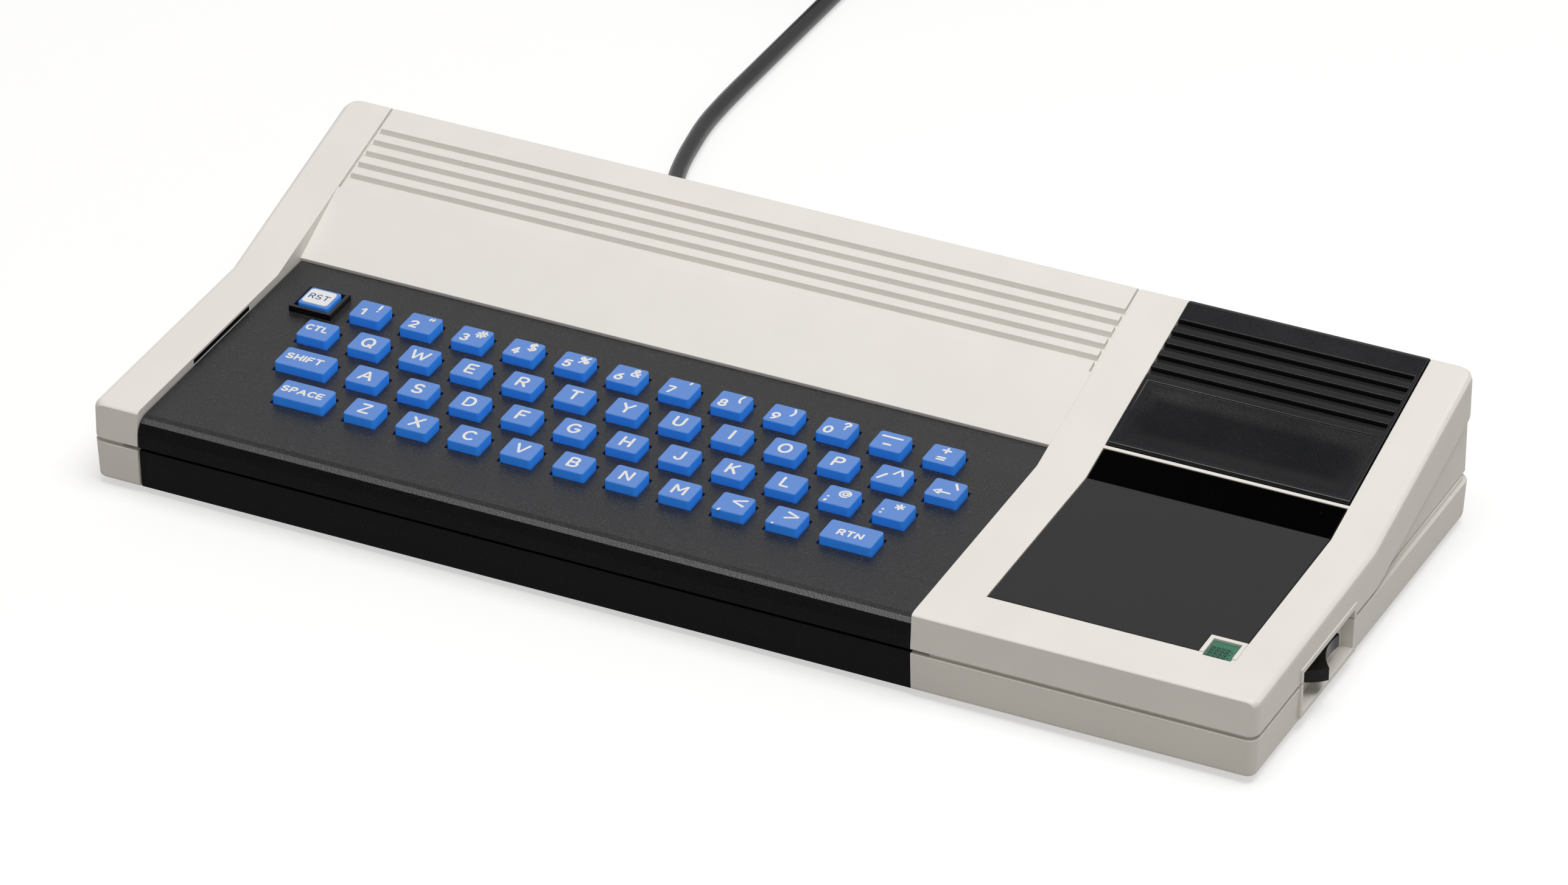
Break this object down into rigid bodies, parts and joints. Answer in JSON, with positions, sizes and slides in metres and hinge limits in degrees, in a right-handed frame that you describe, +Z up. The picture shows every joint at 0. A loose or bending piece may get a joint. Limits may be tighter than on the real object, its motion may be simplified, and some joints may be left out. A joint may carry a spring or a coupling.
{
  "type": "home computer",
  "caption": "Wedge-shaped early-1980s home computer: black keyboard deck with blue keys, glossy panel, sliding cartridge cover, rocker switch, captive power lead.",
  "frame": {"origin": "under the middle of the case and its switch, on the surface that the feet stand on", "axes": "+X to the user's right along the case's long side, +Y from the front edge to the rear wall, +Z up"},
  "size_m": [0.3591, 0.4811, 0.048],
  "materials": {
    "case_plastic": "warm white, fine grain",
    "deck_plastic": "black, spark-grained",
    "cover_plastic": "satin black",
    "gloss_black": "polished black",
    "switch_plastic": "satin black",
    "key_rubber": "matte blue",
    "reset_cap": "pale grey",
    "circuit_board": "green lacquer",
    "lead_sheath": "satin black",
    "adapter_plastic": "satin black"
  },
  "bodies": {
    "computer": {"top_case": "case_plastic", "bottom_case": "case_plastic", "keyboard_deck": "deck_plastic", "front_trim": "deck_plastic", "gloss_panel": "gloss_black", "main_board": "circuit_board", "cord_run": "lead_sheath", "cord_coil": "lead_sheath", "power_adapter": "adapter_plastic"},
    "cartridge_cover": {"cartridge_cover": "cover_plastic"},
    "power_switch": {"power_switch": "switch_plastic"},
    "key_reset": {"key_reset": "reset_cap"},
    "key_1": {"key_1": "key_rubber"},
    "key_2": {"key_2": "key_rubber"},
    "key_3": {"key_3": "key_rubber"},
    "key_4": {"key_4": "key_rubber"},
    "key_5": {"key_5": "key_rubber"},
    "key_6": {"key_6": "key_rubber"},
    "key_7": {"key_7": "key_rubber"},
    "key_8": {"key_8": "key_rubber"},
    "key_9": {"key_9": "key_rubber"},
    "key_0": {"key_0": "key_rubber"},
    "key_minus": {"key_minus": "key_rubber"},
    "key_equals": {"key_equals": "key_rubber"},
    "key_ctl": {"key_ctl": "key_rubber"},
    "key_q": {"key_q": "key_rubber"},
    "key_w": {"key_w": "key_rubber"},
    "key_e": {"key_e": "key_rubber"},
    "key_r": {"key_r": "key_rubber"},
    "key_t": {"key_t": "key_rubber"},
    "key_y": {"key_y": "key_rubber"},
    "key_u": {"key_u": "key_rubber"},
    "key_i": {"key_i": "key_rubber"},
    "key_o": {"key_o": "key_rubber"},
    "key_p": {"key_p": "key_rubber"},
    "key_slash": {"key_slash": "key_rubber"},
    "key_arrow": {"key_arrow": "key_rubber"},
    "key_shift": {"key_shift": "key_rubber"},
    "key_a": {"key_a": "key_rubber"},
    "key_s": {"key_s": "key_rubber"},
    "key_d": {"key_d": "key_rubber"},
    "key_f": {"key_f": "key_rubber"},
    "key_g": {"key_g": "key_rubber"},
    "key_h": {"key_h": "key_rubber"},
    "key_j": {"key_j": "key_rubber"},
    "key_k": {"key_k": "key_rubber"},
    "key_l": {"key_l": "key_rubber"},
    "key_semicolon": {"key_semicolon": "key_rubber"},
    "key_colon": {"key_colon": "key_rubber"},
    "key_space": {"key_space": "key_rubber"},
    "key_z": {"key_z": "key_rubber"},
    "key_x": {"key_x": "key_rubber"},
    "key_c": {"key_c": "key_rubber"},
    "key_v": {"key_v": "key_rubber"},
    "key_b": {"key_b": "key_rubber"},
    "key_n": {"key_n": "key_rubber"},
    "key_m": {"key_m": "key_rubber"},
    "key_comma": {"key_comma": "key_rubber"},
    "key_period": {"key_period": "key_rubber"},
    "key_return": {"key_return": "key_rubber"}
  },
  "joints": [
    {"name": "cartridge_cover_slide", "type": "slide", "parent": "computer", "child": "cartridge_cover", "axis": [0, 1, 0], "range_m": [0, 0.058]},
    {"name": "power_switch_hinge", "type": "hinge", "parent": "computer", "child": "power_switch", "pos_m": [0.16553, -0.02665, 0.0122], "axis": [0, 0, 1], "range_deg": [-27.2, 0]},
    {"name": "key_reset_press", "type": "slide", "parent": "computer", "child": "key_reset", "axis": [0, 0.0273, -0.9996], "range_m": [0, 0.0021], "stiffness_N_per_m": 300},
    {"name": "key_1_press", "type": "slide", "parent": "computer", "child": "key_1", "axis": [0, 0.0273, -0.9996], "range_m": [0, 0.0021], "stiffness_N_per_m": 300},
    {"name": "key_2_press", "type": "slide", "parent": "computer", "child": "key_2", "axis": [0, 0.0273, -0.9996], "range_m": [0, 0.0021], "stiffness_N_per_m": 300},
    {"name": "key_3_press", "type": "slide", "parent": "computer", "child": "key_3", "axis": [0, 0.0273, -0.9996], "range_m": [0, 0.0021], "stiffness_N_per_m": 300},
    {"name": "key_4_press", "type": "slide", "parent": "computer", "child": "key_4", "axis": [0, 0.0273, -0.9996], "range_m": [0, 0.0021], "stiffness_N_per_m": 300},
    {"name": "key_5_press", "type": "slide", "parent": "computer", "child": "key_5", "axis": [0, 0.0273, -0.9996], "range_m": [0, 0.0021], "stiffness_N_per_m": 300},
    {"name": "key_6_press", "type": "slide", "parent": "computer", "child": "key_6", "axis": [0, 0.0273, -0.9996], "range_m": [0, 0.0021], "stiffness_N_per_m": 300},
    {"name": "key_7_press", "type": "slide", "parent": "computer", "child": "key_7", "axis": [0, 0.0273, -0.9996], "range_m": [0, 0.0021], "stiffness_N_per_m": 300},
    {"name": "key_8_press", "type": "slide", "parent": "computer", "child": "key_8", "axis": [0, 0.0273, -0.9996], "range_m": [0, 0.0021], "stiffness_N_per_m": 300},
    {"name": "key_9_press", "type": "slide", "parent": "computer", "child": "key_9", "axis": [0, 0.0273, -0.9996], "range_m": [0, 0.0021], "stiffness_N_per_m": 300},
    {"name": "key_0_press", "type": "slide", "parent": "computer", "child": "key_0", "axis": [0, 0.0273, -0.9996], "range_m": [0, 0.0021], "stiffness_N_per_m": 300},
    {"name": "key_minus_press", "type": "slide", "parent": "computer", "child": "key_minus", "axis": [0, 0.0273, -0.9996], "range_m": [0, 0.0021], "stiffness_N_per_m": 300},
    {"name": "key_equals_press", "type": "slide", "parent": "computer", "child": "key_equals", "axis": [0, 0.0273, -0.9996], "range_m": [0, 0.0021], "stiffness_N_per_m": 300},
    {"name": "key_ctl_press", "type": "slide", "parent": "computer", "child": "key_ctl", "axis": [0, 0.0273, -0.9996], "range_m": [0, 0.0021], "stiffness_N_per_m": 300},
    {"name": "key_q_press", "type": "slide", "parent": "computer", "child": "key_q", "axis": [0, 0.0273, -0.9996], "range_m": [0, 0.0021], "stiffness_N_per_m": 300},
    {"name": "key_w_press", "type": "slide", "parent": "computer", "child": "key_w", "axis": [0, 0.0273, -0.9996], "range_m": [0, 0.0021], "stiffness_N_per_m": 300},
    {"name": "key_e_press", "type": "slide", "parent": "computer", "child": "key_e", "axis": [0, 0.0273, -0.9996], "range_m": [0, 0.0021], "stiffness_N_per_m": 300},
    {"name": "key_r_press", "type": "slide", "parent": "computer", "child": "key_r", "axis": [0, 0.0273, -0.9996], "range_m": [0, 0.0021], "stiffness_N_per_m": 300},
    {"name": "key_t_press", "type": "slide", "parent": "computer", "child": "key_t", "axis": [0, 0.0273, -0.9996], "range_m": [0, 0.0021], "stiffness_N_per_m": 300},
    {"name": "key_y_press", "type": "slide", "parent": "computer", "child": "key_y", "axis": [0, 0.0273, -0.9996], "range_m": [0, 0.0021], "stiffness_N_per_m": 300},
    {"name": "key_u_press", "type": "slide", "parent": "computer", "child": "key_u", "axis": [0, 0.0273, -0.9996], "range_m": [0, 0.0021], "stiffness_N_per_m": 300},
    {"name": "key_i_press", "type": "slide", "parent": "computer", "child": "key_i", "axis": [0, 0.0273, -0.9996], "range_m": [0, 0.0021], "stiffness_N_per_m": 300},
    {"name": "key_o_press", "type": "slide", "parent": "computer", "child": "key_o", "axis": [0, 0.0273, -0.9996], "range_m": [0, 0.0021], "stiffness_N_per_m": 300},
    {"name": "key_p_press", "type": "slide", "parent": "computer", "child": "key_p", "axis": [0, 0.0273, -0.9996], "range_m": [0, 0.0021], "stiffness_N_per_m": 300},
    {"name": "key_slash_press", "type": "slide", "parent": "computer", "child": "key_slash", "axis": [0, 0.0273, -0.9996], "range_m": [0, 0.0021], "stiffness_N_per_m": 300},
    {"name": "key_arrow_press", "type": "slide", "parent": "computer", "child": "key_arrow", "axis": [0, 0.0273, -0.9996], "range_m": [0, 0.0021], "stiffness_N_per_m": 300},
    {"name": "key_shift_press", "type": "slide", "parent": "computer", "child": "key_shift", "axis": [0, 0.0273, -0.9996], "range_m": [0, 0.0021], "stiffness_N_per_m": 300},
    {"name": "key_a_press", "type": "slide", "parent": "computer", "child": "key_a", "axis": [0, 0.0273, -0.9996], "range_m": [0, 0.0021], "stiffness_N_per_m": 300},
    {"name": "key_s_press", "type": "slide", "parent": "computer", "child": "key_s", "axis": [0, 0.0273, -0.9996], "range_m": [0, 0.0021], "stiffness_N_per_m": 300},
    {"name": "key_d_press", "type": "slide", "parent": "computer", "child": "key_d", "axis": [0, 0.0273, -0.9996], "range_m": [0, 0.0021], "stiffness_N_per_m": 300},
    {"name": "key_f_press", "type": "slide", "parent": "computer", "child": "key_f", "axis": [0, 0.0273, -0.9996], "range_m": [0, 0.0021], "stiffness_N_per_m": 300},
    {"name": "key_g_press", "type": "slide", "parent": "computer", "child": "key_g", "axis": [0, 0.0273, -0.9996], "range_m": [0, 0.0021], "stiffness_N_per_m": 300},
    {"name": "key_h_press", "type": "slide", "parent": "computer", "child": "key_h", "axis": [0, 0.0273, -0.9996], "range_m": [0, 0.0021], "stiffness_N_per_m": 300},
    {"name": "key_j_press", "type": "slide", "parent": "computer", "child": "key_j", "axis": [0, 0.0273, -0.9996], "range_m": [0, 0.0021], "stiffness_N_per_m": 300},
    {"name": "key_k_press", "type": "slide", "parent": "computer", "child": "key_k", "axis": [0, 0.0273, -0.9996], "range_m": [0, 0.0021], "stiffness_N_per_m": 300},
    {"name": "key_l_press", "type": "slide", "parent": "computer", "child": "key_l", "axis": [0, 0.0273, -0.9996], "range_m": [0, 0.0021], "stiffness_N_per_m": 300},
    {"name": "key_semicolon_press", "type": "slide", "parent": "computer", "child": "key_semicolon", "axis": [0, 0.0273, -0.9996], "range_m": [0, 0.0021], "stiffness_N_per_m": 300},
    {"name": "key_colon_press", "type": "slide", "parent": "computer", "child": "key_colon", "axis": [0, 0.0273, -0.9996], "range_m": [0, 0.0021], "stiffness_N_per_m": 300},
    {"name": "key_space_press", "type": "slide", "parent": "computer", "child": "key_space", "axis": [0, 0.0273, -0.9996], "range_m": [0, 0.0021], "stiffness_N_per_m": 300},
    {"name": "key_z_press", "type": "slide", "parent": "computer", "child": "key_z", "axis": [0, 0.0273, -0.9996], "range_m": [0, 0.0021], "stiffness_N_per_m": 300},
    {"name": "key_x_press", "type": "slide", "parent": "computer", "child": "key_x", "axis": [0, 0.0273, -0.9996], "range_m": [0, 0.0021], "stiffness_N_per_m": 300},
    {"name": "key_c_press", "type": "slide", "parent": "computer", "child": "key_c", "axis": [0, 0.0273, -0.9996], "range_m": [0, 0.0021], "stiffness_N_per_m": 300},
    {"name": "key_v_press", "type": "slide", "parent": "computer", "child": "key_v", "axis": [0, 0.0273, -0.9996], "range_m": [0, 0.0021], "stiffness_N_per_m": 300},
    {"name": "key_b_press", "type": "slide", "parent": "computer", "child": "key_b", "axis": [0, 0.0273, -0.9996], "range_m": [0, 0.0021], "stiffness_N_per_m": 300},
    {"name": "key_n_press", "type": "slide", "parent": "computer", "child": "key_n", "axis": [0, 0.0273, -0.9996], "range_m": [0, 0.0021], "stiffness_N_per_m": 300},
    {"name": "key_m_press", "type": "slide", "parent": "computer", "child": "key_m", "axis": [0, 0.0273, -0.9996], "range_m": [0, 0.0021], "stiffness_N_per_m": 300},
    {"name": "key_comma_press", "type": "slide", "parent": "computer", "child": "key_comma", "axis": [0, 0.0273, -0.9996], "range_m": [0, 0.0021], "stiffness_N_per_m": 300},
    {"name": "key_period_press", "type": "slide", "parent": "computer", "child": "key_period", "axis": [0, 0.0273, -0.9996], "range_m": [0, 0.0021], "stiffness_N_per_m": 300},
    {"name": "key_return_press", "type": "slide", "parent": "computer", "child": "key_return", "axis": [0, 0.0273, -0.9996], "range_m": [0, 0.0021], "stiffness_N_per_m": 300}
  ]
}
